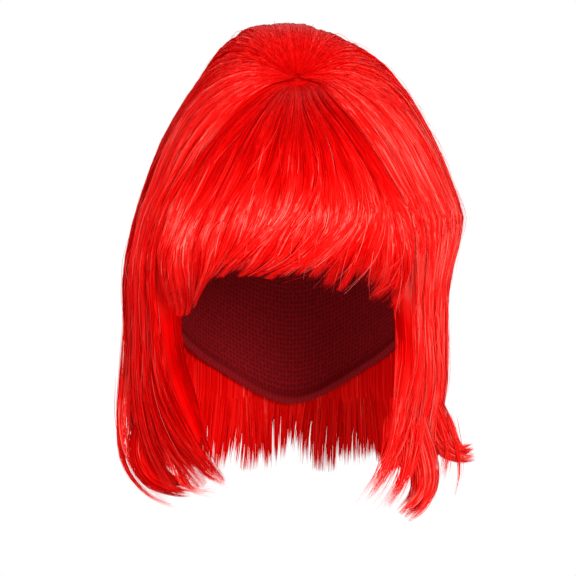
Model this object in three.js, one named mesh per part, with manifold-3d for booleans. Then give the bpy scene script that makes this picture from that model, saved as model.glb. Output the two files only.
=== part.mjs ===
// A red beehive wig: a stretch cap that carries seven bodies of combed hair, all fanning out from one whorl.
// Millimetres. +X is the wearer's left, +Y the back of the head and +Z up.
// The origin is the inside of the cap's top, where the crown of the head sits.

import * as THREE from "three";
import { mergeVertices } from "three/addons/utils/BufferGeometryUtils.js";
import Module from "manifold-3d";

const wasm = await Module();
wasm.setup();

// Head that the cap fits
const headBreadth = 150;
const headLength = 190;
const headDepth = 110; // from the top of the head to its widest level

// Cap
const capWall = 1.8;
const rimRoll = 1.6; // how much thicker the stitched rim is, on the inside
const rimHeight = 7;
const rimClear = 13; // the hair stays outside the cap down to this far below the rim
const rimFade = 40; // and is free to close in on the neck from this much further down
const napeDrop = 158; // lowest point of the rim, below the top of the head
const capFit = 1.0; // between the cap and the hair on it

// Outer shape of the hair, beyond the cap and above it
const overLeft = 16.2;
const overRight = 15.5;
const overFront = 12.2;
const overBack = 26.2;
const beehiveRise = 52.2; // teased crown above the cap
const tipDrop = 213; // lowest tips, below the top of the head
const spineBack = 12; // plan centre of the hair, behind the middle of the head
const roundness = 2.1; // power of the plan curve, 2 is an ellipse

// Whorl that every strand starts from
const whorlAcross = 3;
const whorlDrop = 27.5; // below the beehive's top
const whorlRadius = 8; // bare middle, filled by the crown's gathered roots
const gatherLong = 14; // gathered roots, toward the crown
const gatherAcross = 7.3; // and to the other sides
const whorlReach = 13; // strands leave the whorl straight for this far
const pitDepth = 6.5;
const pitWidth = 17;

// Hair bodies
const seamGap = 0.6; // between neighbouring bodies
const rootSeam = 0.5; // share of that gap left at the whorl
const lockDepth = 3.2; // height of the fullest lock
const tipStagger = 14; // difference between the longest and shortest tips
const grooveLong = 0.5; // share of a lock's extra length that its edges have
const fringeWall = 9;
const curtainWall = 16;
const napeWall = 13;
const tipWall = 4;
const crownLip = 4; // how far the crown's tucked edge stands over the hair below it
const partStep = 2; // how far the fringe lies below the hair beside it


const leftReach = headBreadth / 2 + capWall + overLeft;
const rightReach = headBreadth / 2 + capWall + overRight;
const frontReach = headLength / 2 + capWall + overFront + spineBack;
const backReach = headLength / 2 + capWall + overBack - spineBack;
const crownRise = capWall + beehiveRise;
const hairHeight = crownRise + tipDrop;

// Plan sections of the hair from the beehive's top down. Level is a share of the hair's whole height,
// and the other columns are shares of its reach to that side.
const sections = [
  { level: 0.0, right: 0.0, left: 0.0, front: 0.0, back: 0.0 },
  { level: 0.009, right: 0.25, left: 0.12, front: 0.116, back: 0.126 },
  { level: 0.027, right: 0.345, left: 0.275, front: 0.223, back: 0.288 },
  { level: 0.057, right: 0.44, left: 0.43, front: 0.314, back: 0.468 },
  { level: 0.099, right: 0.53, left: 0.572, front: 0.413, back: 0.649 },
  { level: 0.14, right: 0.602, left: 0.672, front: 0.529, back: 0.775 },
  { level: 0.2, right: 0.701, left: 0.767, front: 0.719, back: 0.892 },
  { level: 0.26, right: 0.79, left: 0.854, front: 0.835, back: 0.955 },
  { level: 0.324, right: 0.856, left: 0.927, front: 0.917, back: 0.991 },
  { level: 0.403, right: 0.932, left: 1.0, front: 1.0, back: 1.0 },
  { level: 0.444, right: 0.959, left: 0.984, front: 1.0, back: 0.991 },
  { level: 0.486, right: 0.984, left: 0.954, front: 0.967, back: 0.964 },
  { level: 0.538, right: 1.0, left: 0.92, front: 0.876, back: 0.937 },
  { level: 0.591, right: 0.997, left: 0.913, front: 0.777, back: 0.91 },
  { level: 0.651, right: 0.99, left: 0.913, front: 0.727, back: 0.865 },
  { level: 0.73, right: 0.993, left: 0.913, front: 0.694, back: 0.811 },
  { level: 0.812, right: 0.973, left: 0.883, front: 0.661, back: 0.775 },
  { level: 0.876, right: 0.932, left: 0.882, front: 0.645, back: 0.775 },
  { level: 0.932, right: 0.878, left: 0.839, front: 0.62, back: 0.811 },
  { level: 1.0, right: 0.791, left: 0.785, front: 0.595, back: 0.856 },
];

// Rim of the cap: plan angle from the forehead, and drop as a share of the drop at the nape.
const rimLine = [
  { angle: 0, drop: 0.38 },
  { angle: 42, drop: 0.42 },
  { angle: 82, drop: 0.65 },
  { angle: 104, drop: 0.67 },
  { angle: 142, drop: 0.86 },
  { angle: 180, drop: 1 },
];
const capSides = 32;
const capRings = [0.02, 0.14, 0.28, 0.42, 0.56, 0.7, 0.82, 0.92]; // shares of the way from top to rim

// Guides of the hair that falls to the hem, by the turn at which they leave the whorl, 0 being forward and
// 90 the wearer's left. Each station is a plan angle and a level.
const falls = [
  { turn: -160, crest: -150, crestAt: 0.027, side: -152, sideAt: 0.403, jaw: -150, tip: -150, tipAt: 0.945 },
  { turn: -135, crest: -108, crestAt: 0.057, side: -122, sideAt: 0.403, jaw: -120, tip: -121, tipAt: 0.947 },
  { turn: -115, crest: -75, crestAt: 0.103, side: -95, sideAt: 0.403, jaw: -98, tip: -102, tipAt: 0.95 },
  { turn: -95, crest: -57, crestAt: 0.148, side: -73, sideAt: 0.403, jaw: -81, tip: -85, tipAt: 0.951 },
  { turn: -80, crest: -44, crestAt: 0.178, side: -56, sideAt: 0.403, jaw: -70, tip: -66, tipAt: 0.955 },
  { turn: -65, crest: -32, crestAt: 0.2, side: -48, sideAt: 0.403, jaw: -60, tip: -44, tipAt: 0.95 },
  { turn: -48, crest: -19.3, crestAt: 0.181, side: -41, sideAt: 0.403, jaw: -51, tip: -26, tipAt: 0.936 },
  { turn: 48, crest: 18, crestAt: 0.181, side: 33.5, sideAt: 0.403, jaw: 50, tip: 42, tipAt: 0.9 },
  { turn: 65, crest: 33, crestAt: 0.2, side: 44, sideAt: 0.403, jaw: 61, tip: 58, tipAt: 0.94 },
  { turn: 80, crest: 45, crestAt: 0.185, side: 58, sideAt: 0.403, jaw: 69, tip: 74, tipAt: 0.936 },
  { turn: 95, crest: 58, crestAt: 0.155, side: 76, sideAt: 0.403, jaw: 80, tip: 86, tipAt: 0.929 },
  { turn: 115, crest: 75, crestAt: 0.103, side: 96, sideAt: 0.403, jaw: 98, tip: 102, tipAt: 0.94 },
  { turn: 135, crest: 108, crestAt: 0.057, side: 122, sideAt: 0.403, jaw: 120, tip: 121, tipAt: 0.943 },
  { turn: 160, crest: 150, crestAt: 0.027, side: 152, sideAt: 0.403, jaw: 150, tip: 150, tipAt: 0.945 },
  { turn: 180, crest: 180, crestAt: 0.027, side: 180, sideAt: 0.403, jaw: 180, tip: 180, tipAt: 0.945 },
];
const jawAt = 0.688;

// Guides of the fringe. The columns are how far across a strand is at five levels, as shares of the
// reach to the wearer's left, and the level of its tip.
const sweeps = [
  { turn: -42, root: -0.22, mid: -0.45, bulge: -0.59, low: -0.67, brow: -0.72, tip: -0.73, tipAt: 0.575 },
  { turn: -30, root: -0.15, mid: -0.3, bulge: -0.42, low: -0.51, brow: -0.58, tip: -0.61, tipAt: 0.6 },
  { turn: -12, root: -0.01, mid: -0.06, bulge: -0.11, low: -0.21, brow: -0.34, tip: -0.47, tipAt: 0.519 },
  { turn: 6, root: 0.07, mid: 0.15, bulge: 0.19, low: 0.14, brow: 0.0, tip: -0.18, tipAt: 0.511 },
  { turn: 22, root: 0.14, mid: 0.28, bulge: 0.38, low: 0.4, brow: 0.29, tip: 0.12, tipAt: 0.519 },
  { turn: 36, root: 0.2, mid: 0.36, bulge: 0.49, low: 0.56, brow: 0.51, tip: 0.37, tipAt: 0.529 },
  { turn: 43, root: 0.235, mid: 0.4, bulge: 0.545, low: 0.635, brow: 0.67, tip: 0.59, tipAt: 0.6 },
];
const sweepLevels = { root: 0.181, mid: 0.26, bulge: 0.343, low: 0.418, brow: 0.486 };
const sideTurn = 48; // where the fringe meets the hair beside the face
const faceTurn = 68; // where the face lock meets the side hair
const crownTurn = 115; // where the side hair meets the crown

// Rows of points down a falling strand. The fringe and the crown end partway down.
const fallRows = 24;
const fringeRows = 13;
const crownRows = 14;
const rowShare = (row) => THREE.MathUtils.lerp(whorlRadius / hairHeight, 1, row / fallRows);
const raggedFrom = 0.8; // share of a strand's length below which the locks end unevenly

// Locks of each body, in order of turn. Width is a share of the body's turn, full a share of lockDepth and
// long a share of tipStagger.
const fringeLocks = [
  { width: 0.2, full: 0.7, long: 0.9 },
  { width: 0.15, full: 1.0, long: 0.5 },
  { width: 0.2, full: 0.6, long: 0.3 },
  { width: 0.17, full: 0.9, long: 0.45 },
  { width: 0.13, full: 0.7, long: 0.3 },
  { width: 0.15, full: 1.0, long: 0.5 },
];
const faceLocks = [
  { width: 0.45, full: 0.8, long: 0.6 },
  { width: 0.55, full: 1.0, long: 1.0 },
];
const sideLocks = [
  { width: 0.3, full: 0.9, long: 1.0 },
  { width: 0.28, full: 0.6, long: 0.6 },
  { width: 0.42, full: 1.0, long: 0.9 },
];
const crownLocks = [
  { width: 0.14, full: 0.8, long: 0 },
  { width: 0.18, full: 0.55, long: 0 },
  { width: 0.16, full: 0.9, long: 0 },
  { width: 0.2, full: 0.6, long: 0 },
  { width: 0.15, full: 0.85, long: 0 },
  { width: 0.17, full: 0.6, long: 0 },
];
const napeLocks = [
  { width: 0.17, full: 0.9, long: 0.7 },
  { width: 0.15, full: 0.7, long: 1.0 },
  { width: 0.2, full: 1.0, long: 0.6 },
  { width: 0.16, full: 0.8, long: 0.9 },
  { width: 0.17, full: 1.0, long: 0.7 },
  { width: 0.15, full: 0.7, long: 1.0 },
];

// Loose tresses. Across, back and down place each station as shares of the left reach, the back reach and
// the drop to the lowest tips, measured from the head's middle and top. Width and thick are shares of the
// two sizes of a tress.
const tressWidth = 17;
const tressThick = 9;
const flickTress = [
  { across: 0.79, back: -0.15, down: 0.68, width: 0.53, thick: 0.78 },
  { across: 0.85, back: -0.2, down: 0.78, width: 0.94, thick: 1 },
  { across: 0.91, back: -0.21, down: 0.832, width: 0.82, thick: 0.89 },
  { across: 0.98, back: -0.21, down: 0.848, width: 0.53, thick: 0.67 },
  { across: 1.055, back: -0.21, down: 0.844, width: 0.18, thick: 0.33 },
];
const hookTress = [
  { across: 0.667, back: -0.356, down: 0.66, width: 0.35, thick: 0.67 },
  { across: 0.715, back: -0.385, down: 0.8, width: 0.88, thick: 1 },
  { across: 0.76, back: -0.4, down: 0.9, width: 0.88, thick: 1 },
  { across: 0.725, back: -0.39, down: 0.96, width: 0.65, thick: 0.78 },
  { across: 0.635, back: -0.37, down: 1.0, width: 0.18, thick: 0.33 },
];
const curlTress = [
  { across: -0.84, back: -0.2, down: 0.74, width: 0.53, thick: 0.78 },
  { across: -0.86, back: -0.23, down: 0.84, width: 1, thick: 1 },
  { across: -0.8, back: -0.25, down: 0.9, width: 0.9, thick: 0.89 },
  { across: -0.7, back: -0.25, down: 0.925, width: 0.6, thick: 0.67 },
  { across: -0.585, back: -0.24, down: 0.932, width: 0.25, thick: 0.33 },
];
const gatherSides = 14;
const tressSides = 8;
const tressSteps = 9;

const rad = THREE.MathUtils.degToRad;
const { lerp, smoothstep } = THREE.MathUtils;
const heart = new THREE.Vector3(0, spineBack, -headDepth / 2); // all the hair is seen from here
const levelHeight = (level) => crownRise - level * hairHeight;

// Smooth table look-up: every column but the first, against the first.
function curveThrough(rows, key, columns) {
  const at = rows.map(key);
  const values = rows.flatMap((row) => columns.map((name) => row[name]));
  return new THREE.CubicInterpolant(at, values, columns.length);
}

const planShares = curveThrough(sections, (row) => Math.sqrt(row.level), ["right", "left", "front", "back"]);

// Plan radius of the smooth hair shape from the spine, at an angle and a height.
function planRadius(angle, z) {
  const level = Math.sqrt(THREE.MathUtils.clamp((crownRise - z) / hairHeight, 0, 1.1));
  const [right, left, front, back] = planShares.evaluate(level);
  const sideways = Math.sin(angle) > 0 ? left * leftReach : right * rightReach;
  const lengthways = Math.cos(angle) > 0 ? front * frontReach : back * backReach;
  const across = (Math.abs(Math.sin(angle)) / Math.max(sideways, 0.01)) ** roundness;
  const along = (Math.abs(Math.cos(angle)) / Math.max(lengthways, 0.01)) ** roundness;
  return (across + along) ** (-1 / roundness);
}

// Point of the smooth shape at a plan angle in degrees and a level.
function onShape(degrees, level) {
  const z = levelHeight(level);
  const radius = planRadius(rad(degrees), z);
  return new THREE.Vector3(radius * Math.sin(rad(degrees)), spineBack - radius * Math.cos(rad(degrees)), z);
}

// Point of the front of the smooth shape at a share of the left reach and a level.
function onFace(share, level) {
  const [right, left, front] = planShares.evaluate(Math.sqrt(level));
  const sideways = share > 0 ? left * leftReach : right * rightReach;
  const x = share * leftReach;
  const filled = Math.min(Math.abs(x / sideways), 0.999) ** roundness;
  return new THREE.Vector3(x, spineBack - front * frontReach * (1 - filled) ** (1 / roundness), levelHeight(level));
}

// Distance from the heart to the smooth shape, which every ray crosses once.
function shapeReach(way) {
  const probe = new THREE.Vector3();
  let [near, far] = [0, 2 * hairHeight];
  for (let step = 0; step < 30; step++) {
    const middle = (near + far) / 2;
    probe.copy(way).multiplyScalar(middle).add(heart);
    const out = Math.hypot(probe.x, probe.y - spineBack);
    const inside = probe.z < crownRise && out < planRadius(Math.atan2(probe.x, spineBack - probe.y), probe.z);
    if (inside) near = middle;
    else far = middle;
  }
  return near;
}

const wayTo = (point) => point.clone().sub(heart).normalize();
const whorlLevel = whorlDrop / hairHeight;
const whorlWay = wayTo(onFace(whorlAcross / leftReach, whorlLevel));

const whorlOut = shapeReach(whorlWay);

// The hair dips where it is gathered at the whorl.
function hairReach(way) {
  const off = way.angleTo(whorlWay) * whorlOut;
  return shapeReach(way) - pitDepth * Math.exp(-((off / pitWidth) ** 2));
}

// Distance from the heart to the head grown by a margin.
function headReach(way, margin) {
  const size = new THREE.Vector3(headBreadth / 2 + margin, headLength / 2 + margin, headDepth + margin);
  const from = heart.clone().add(new THREE.Vector3(0, 0, headDepth)).divide(size);
  const step = way.clone().divide(size);
  const [a, b, c] = [step.lengthSq(), from.dot(step), from.lengthSq() - 1];
  return (Math.sqrt(b * b - a * c) - b) / a;
}

const folded = [
  { ...rimLine[1], angle: -rimLine[1].angle },
  ...rimLine,
  { ...rimLine.at(-2), angle: 360 - rimLine.at(-2).angle },
];
const rim = curveThrough(folded, (row) => row.angle, ["drop"]);

// Drop of the cap's rim at a plan angle about the middle of the head.
function rimDropAt(angle) {
  const fromFront = Math.abs(THREE.MathUtils.radToDeg(Math.atan2(Math.sin(angle), Math.cos(angle))));
  return rim.evaluate(fromFront)[0] * napeDrop;
}

// Distance from the heart to the cap's outside, which lets go of the hair below the rim.
function capReach(way) {
  const reach = headReach(way, capWall + capFit);
  const point = pointAlong(way, reach);
  const below = -point.z - rimDropAt(Math.atan2(point.x, -point.y)) - rimClear;
  return reach * (1 - smoothstep(below, 0, rimFade));
}

const pointAlong = (way, reach) => way.clone().multiplyScalar(reach).add(heart);
const whorl = pointAlong(whorlWay, hairReach(whorlWay));

// Start of a guide: straight out of the whorl, at its turn in the surface.
function leaving(turn) {
  const down = new THREE.Vector3(0, 0, -1).projectOnPlane(whorlWay).normalize();
  const leftwards = new THREE.Vector3().crossVectors(whorlWay, down).normalize();
  const start = whorl.clone();
  start.addScaledVector(down, whorlReach * Math.cos(rad(turn)));
  start.addScaledVector(leftwards, whorlReach * Math.sin(rad(turn)));
  return start;
}

function fallGuide(row) {
  return new THREE.CatmullRomCurve3([
    whorl,
    leaving(row.turn),
    onShape(row.crest, row.crestAt),
    onShape(row.side, row.sideAt),
    onShape(row.jaw, jawAt),
    onShape(row.tip, row.tipAt),
  ]);
}

function sweepGuide(row) {
  const stations = Object.entries(sweepLevels).map(([name, level]) => onFace(row[name], level));
  return new THREE.CatmullRomCurve3([whorl, leaving(row.turn), ...stations, onFace(row.tip, row.tipAt)]);
}

// A weave gives the way from the heart to the strand that leaves at a turn, at a share of its length.
// It runs smoothly across its guides, each a turn and a function of that share.
function weave(guides) {
  const made = new Map();
  return (turn, share) => {
    if (!made.has(share)) {
      const values = guides.flatMap((guide) => wayTo(guide.at(share)).toArray());
      const turns = guides.map((guide) => guide.turn);
      made.set(share, new THREE.CubicInterpolant(turns, values, 3));
    }
    return new THREE.Vector3(...made.get(share).evaluate(turn)).normalize();
  };
}

function fallWeave() {
  const rows = falls.map((row) => ({ turn: row.turn, curve: fallGuide(row) }));
  const wrapped = [
    ...rows.slice(-3).map((row) => ({ ...row, turn: row.turn - 360 })),
    ...rows,
    ...rows.slice(0, 3).map((row) => ({ ...row, turn: row.turn + 360 })),
  ];
  return weave(wrapped.map((row) => ({ turn: row.turn, at: (share) => row.curve.getPointAt(share) })));
}

const fallWay = fallWeave();

function fringeWeave() {
  const end = rowShare(fringeRows);
  const edge = (turn) => ({ turn, at: (share) => pointAlong(fallWay(turn, share * end), headDepth) });
  const middle = sweeps.map((row) => {
    const curve = sweepGuide(row);
    return { turn: row.turn, at: (share) => curve.getPointAt(share) };
  });
  return weave([edge(-sideTurn), ...middle, edge(sideTurn)]);
}

const fringeWay = fringeWeave();

// Height and length of the locks at a share of the body's width: round backs with grooves between them.
function lockAt(locks, share) {
  let start = 0;
  for (const lock of locks) {
    const end = start + lock.width;
    if (share <= end + 1e-6) {
      const back = Math.sin((Math.PI * (share - start)) / lock.width);
      return { height: lockDepth * lock.full * Math.sqrt(Math.max(back, 0)), long: lock.long * lerp(grooveLong, 1, back) };
    }
    start = end;
  }
  return { height: 0, long: 0 };
}

// Column positions across a body: a groove at each lock's edge and three columns on its back.
function lockColumns(locks) {
  let start = 0;
  const shares = [0];
  for (const lock of locks) {
    for (const part of [0.25, 0.5, 0.75, 1]) shares.push(start + part * lock.width);
    start += lock.width;
  }
  return shares.map((share) => Math.min(share, 1));
}

// A closed body between an outer and an inner grid of points, given column by column.
function between(outer, inner) {
  const [columns, rows] = [outer.length, outer[0].length];
  const index = [];
  const at = (face, column, row) => (face * columns + column) * rows + row;
  const quad = (a, b, c, d) => index.push(a, b, c, a, c, d);
  for (let c = 0; c + 1 < columns; c++) {
    for (let r = 0; r + 1 < rows; r++) {
      quad(at(0, c, r), at(0, c, r + 1), at(0, c + 1, r + 1), at(0, c + 1, r));
      quad(at(1, c, r), at(1, c + 1, r), at(1, c + 1, r + 1), at(1, c, r + 1));
    }
    const end = rows - 1;
    quad(at(0, c, end), at(1, c, end), at(1, c + 1, end), at(0, c + 1, end));
    quad(at(0, c, 0), at(0, c + 1, 0), at(1, c + 1, 0), at(1, c, 0));
  }
  for (let r = 0; r + 1 < rows; r++) {
    const end = columns - 1;
    quad(at(0, 0, r), at(1, 0, r), at(1, 0, r + 1), at(0, 0, r + 1));
    quad(at(0, end, r), at(0, end, r + 1), at(1, end, r + 1), at(1, end, r));
  }
  const geometry = new THREE.BufferGeometry();
  const places = [...outer.flat(), ...inner.flat()].flatMap((point) => point.toArray());
  geometry.setAttribute("position", new THREE.Float32BufferAttribute(places, 3));
  geometry.setIndex(index);
  return geometry;
}

// One body of hair: a sector of a weave, with the given shares of the strands' length as its rows. Its outside
// is cut into locks, the fullest of which reach the hair shape, and its inside is the cap, or the body's wall
// where it leaves the cap.
function hairBody({ way, from, to, rows, locks, wall, leaves, ragged, pinned, inset = () => 0 }) {
  const outer = [];
  const inner = [];
  for (const share of lockColumns(locks)) {
    const turn = lerp(from, to, share);
    const lock = lockAt(locks, share);
    const seam = share === 0 ? 1 : share === 1 ? -1 : 0;
    const shorter = seam ? (pinned ? 0 : ragged * grooveLong) : ragged * (1 - lock.long);
    const outerColumn = [];
    const innerColumn = [];
    for (const row of rows) {
      const past = Math.max(row - raggedFrom, 0) / (1 - raggedFrom);
      const at = row - shorter * past;
      const relief = (lock.height - lockDepth) * smoothstep(at, 0.04, 0.3);
      const direction = way(turn, at);
      const ahead = way(turn, Math.min(at + 0.01, 1)).sub(way(turn, at - 0.01));
      const sideways = new THREE.Vector3().crossVectors(direction, ahead).normalize();
      const reach = hairReach(direction) + relief - inset(at);
      const depth = lerp(lerp(hairHeight, wall, smoothstep(at, ...leaves)), tipWall, smoothstep(at, 0.8, 1));
      const seat = capReach(direction);
      const apart = (seam * seamGap * lerp(rootSeam, 1, smoothstep(row, 0, 0.2))) / 2;
      for (const [column, distance] of [
        [outerColumn, reach],
        [innerColumn, Math.max(seat, reach - depth)],
      ]) {
        column.push(pointAlong(direction, distance).addScaledVector(sideways, apart));
      }
    }
    outer.push(outerColumn);
    inner.push(innerColumn);
  }
  return between(outer, inner);
}

// A closed body through rings of points, with a flat fan over its first and last ring.
function loft(rings) {
  const sides = rings[0].length;
  const last = rings.length - 1;
  const index = [];
  const at = (ring, side) => ring * sides + (side % sides);
  for (let side = 0; side < sides; side++) {
    for (let ring = 0; ring < last; ring++) {
      const [a, b, c, d] = [at(ring, side), at(ring, side + 1), at(ring + 1, side + 1), at(ring + 1, side)];
      index.push(a, b, c, a, c, d);
    }
    if (side > 0 && side + 1 < sides) {
      index.push(at(0, 0), at(0, side + 1), at(0, side), at(last, 0), at(last, side), at(last, side + 1));
    }
  }
  const geometry = new THREE.BufferGeometry();
  geometry.setAttribute("position", new THREE.Float32BufferAttribute(rings.flat().flatMap((p) => p.toArray()), 3));
  geometry.setIndex(index);
  return geometry;
}

// A tapered tress through its stations: an oval section that narrows to the tip.
function tress(stations) {
  const place = (row) =>
    new THREE.Vector3(row.across * leftReach, spineBack + row.back * backReach, -row.down * tipDrop);
  const path = new THREE.CatmullRomCurve3(stations.map(place));
  const sizes = curveThrough(stations, (_, index) => index / (stations.length - 1), ["width", "thick"]);
  const rings = [];
  for (let step = 0; step <= tressSteps; step++) {
    const share = step / tressSteps;
    const centre = path.getPoint(share);
    const along = path.getTangent(share);
    const [width, thick] = sizes.evaluate(share);
    const outward = new THREE.Vector3(0, -1, 0).projectOnPlane(along).normalize();
    const across = new THREE.Vector3().crossVectors(along, outward).normalize();
    rings.push(
      Array.from({ length: tressSides }, (_, side) => {
        const angle = (2 * Math.PI * side) / tressSides;
        const point = centre.clone().addScaledVector(across, (width / 2) * tressWidth * Math.cos(angle));
        return point.addScaledVector(outward, (thick / 2) * tressThick * Math.sin(angle));
      }),
    );
  }
  return loft(rings);
}

function solidOf(geometry) {
  const merged = mergeVertices(geometry, 1e-4);
  const made = new wasm.Manifold(
    new wasm.Mesh({
      numProp: 3,
      vertProperties: merged.getAttribute("position").array,
      triVerts: new Uint32Array(merged.index.array),
    }),
  );
  return made.volume() < 0 ? solidOf(turnedOut(merged)) : made;
}

function turnedOut(geometry) {
  const index = Array.from(geometry.index.array);
  for (let i = 0; i < index.length; i += 3) [index[i + 1], index[i + 2]] = [index[i + 2], index[i + 1]];
  return geometry.setIndex(index);
}

function geometryOf(solid) {
  const mesh = solid.getMesh();
  const geometry = new THREE.BufferGeometry();
  geometry.setAttribute("position", new THREE.BufferAttribute(new Float32Array(mesh.vertProperties), 3));
  geometry.setIndex(new THREE.BufferAttribute(new Uint32Array(mesh.triVerts), 1));
  return geometry;
}

const joined = (...geometries) => geometryOf(geometries.map(solidOf).reduce((all, one) => all.add(one)));

// The cap: a dome whose rim runs from the forehead over the ears to the nape.
function capGeometry() {
  // A ring of the ellipsoid grown by a margin, at a share of the way from its top to its rim.
  const ring = (share, margin, raised) =>
    Array.from({ length: capSides }, (_, step) => {
      const angle = (2 * Math.PI * step) / capSides;
      const rimDrop = rimDropAt(angle) - raised;
      const tall = headDepth + margin;
      const last = Math.acos(THREE.MathUtils.clamp((headDepth - rimDrop) / tall, -1, 1));
      const polar = last * share;
      return new THREE.Vector3(
        (headBreadth / 2 + margin) * Math.sin(polar) * Math.sin(angle),
        -(headLength / 2 + margin) * Math.sin(polar) * Math.cos(angle),
        tall * Math.cos(polar) - headDepth,
      );
    });
  const outside = capRings.map((share) => ring(share, capWall, 0));
  const inside = capRings.map((share) => ring(share, 0, rimHeight));
  return loft([
    ...outside,
    ring(1, capWall, 0),
    ring(1, -rimRoll, 0),
    ring(1, -rimRoll, rimHeight * 0.6),
    ring(1, 0, rimHeight),
    ...inside.reverse(),
  ]);
}

const hairRed = new THREE.Color(0.86, 0.02, 0.02);
const hairMaterial = () => new THREE.MeshStandardMaterial({ color: hairRed, roughness: 0.42, metalness: 0 });
const capMaterial = new THREE.MeshStandardMaterial({
  color: new THREE.Color(0.42, 0.02, 0.03),
  roughness: 0.9,
  metalness: 0,
});

const wig = new THREE.Group();

function add(name, geometry, material = hairMaterial()) {
  const mesh = new THREE.Mesh(geometry, material);
  mesh.name = name;
  wig.add(mesh);
}

add("cap", geometryOf(solidOf(capGeometry())), capMaterial);

const rowsFrom = (first, last) => Array.from({ length: last - first + 1 }, (_, step) => rowShare(first + step));
const fringeEnd = rowShare(fringeRows);
const fringe = hairBody({
  way: fringeWay,
  from: -sideTurn,
  to: sideTurn,
  rows: rowsFrom(0, fringeRows).map((share) => share / fringeEnd),
  locks: fringeLocks,
  wall: fringeWall,
  leaves: [0.4, 0.75],
  ragged: tipStagger / (fringeEnd * hairHeight),
  pinned: true,
  inset: (at) => partStep * (1 - smoothstep(at, 0.5, 0.8)),
});
add("fringe", geometryOf(solidOf(fringe)));

const ragged = tipStagger / hairHeight;
const curtain = { way: fallWay, rows: rowsFrom(0, fallRows), wall: curtainWall, leaves: [0.35, 0.62], ragged };
const mirrored = (locks) => [...locks].reverse();
const leftFace = hairBody({ ...curtain, from: sideTurn, to: faceTurn, locks: faceLocks });
const rightFace = hairBody({ ...curtain, from: -faceTurn, to: -sideTurn, locks: mirrored(faceLocks) });
add("face_lock_left", joined(leftFace, tress(hookTress)));
add("face_lock_right", geometryOf(solidOf(rightFace)));

const leftSide = hairBody({ ...curtain, from: faceTurn, to: crownTurn, locks: sideLocks });
const rightSide = hairBody({ ...curtain, from: -crownTurn, to: -faceTurn, locks: mirrored(sideLocks) });
add("side_hair_left", joined(leftSide, tress(flickTress)));
add("side_hair_right", joined(rightSide, tress(curlTress)));

const tuckGap = seamGap / hairHeight;
const crown = hairBody({
  way: fallWay,
  from: crownTurn,
  to: 360 - crownTurn,
  rows: [...rowsFrom(0, crownRows - 1), rowShare(crownRows) - tuckGap],
  locks: crownLocks,
  wall: hairHeight,
  leaves: [0, 1],
  ragged: 0,
});

// The gathered roots: a short oval plug in the middle of the whorl, longer toward the crown and so part of it.
const down = new THREE.Vector3(0, 0, -1).projectOnPlane(whorlWay).normalize();
const leftwards = new THREE.Vector3().crossVectors(down, whorlWay).normalize();
const gatherTop = hairReach(whorlWay);
const gather = [headReach(whorlWay, capWall + capFit) + rimRoll, gatherTop].map((reach) =>
  Array.from({ length: gatherSides }, (_, side) => {
    const angle = (2 * Math.PI * side) / gatherSides;
    const long = Math.cos(angle) > 0 ? gatherAcross : gatherLong;
    const point = pointAlong(whorlWay, reach);
    point.addScaledVector(leftwards, (gatherAcross * Math.sin(angle) * reach) / gatherTop);
    return point.addScaledVector(down, (long * Math.cos(angle) * reach) / gatherTop);
  }),
);
add("crown_hair", joined(crown, loft(gather)));

const nape = hairBody({
  way: fallWay,
  from: crownTurn,
  to: 360 - crownTurn,
  rows: [rowShare(crownRows) + tuckGap, ...rowsFrom(crownRows + 1, fallRows)],
  locks: napeLocks,
  wall: napeWall,
  leaves: [0.66, 0.82],
  ragged,
  inset: (at) => crownLip * (1 - smoothstep(at, 0.6, 0.8)),
});
add("nape_hair", geometryOf(solidOf(nape)));

export default wig;
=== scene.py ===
import math

import bpy
import numpy as np
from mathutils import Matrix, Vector


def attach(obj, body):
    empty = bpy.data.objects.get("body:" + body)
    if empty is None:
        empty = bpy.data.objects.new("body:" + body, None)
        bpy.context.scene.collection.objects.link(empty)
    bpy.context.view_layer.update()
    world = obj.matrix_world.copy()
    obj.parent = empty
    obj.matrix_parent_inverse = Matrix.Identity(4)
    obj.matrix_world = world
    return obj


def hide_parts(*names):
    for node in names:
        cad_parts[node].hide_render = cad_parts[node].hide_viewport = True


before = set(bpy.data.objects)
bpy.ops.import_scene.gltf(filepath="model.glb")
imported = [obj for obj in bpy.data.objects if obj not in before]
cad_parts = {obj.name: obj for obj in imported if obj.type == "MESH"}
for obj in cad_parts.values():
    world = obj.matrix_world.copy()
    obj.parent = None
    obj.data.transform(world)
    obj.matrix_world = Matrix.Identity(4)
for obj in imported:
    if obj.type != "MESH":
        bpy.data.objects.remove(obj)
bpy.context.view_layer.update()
mm = 0.001

# shape of the cap's hollow and of the hair, all in mm

hollow = {
    "breadth": 150,
    "length": 190,
    "depth": 110,  # top of the hollow down to its widest level
    "capWall": 1.8,
    "rimRoll": 1.6,
    "rimHeight": 7,
    "rimClear": 13,  # hair stays outside the cap down to this far below its rim
    "rimFade": 40,
    "napeDrop": 158,
}

# plan angle from the front, then the rim's drop there as a share of the drop at the nape
rimLine = [(-42, 0.42), (0, 0.38), (42, 0.42), (82, 0.65), (104, 0.67), (142, 0.86), (180, 1), (218, 0.86)]

shape = {
    "left": 93,  # reaches from the spine to each side
    "right": 92.3,
    "front": 121,
    "back": 111,
    "top": 54,
    "bottom": -213,
    "spineBack": 12,
    "roundness": 2.1,
    "whorlX": 3,
    "whorlZ": 26.5,
    "pitDepth": 6.5,
    "pitWidth": 17,
}

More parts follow.
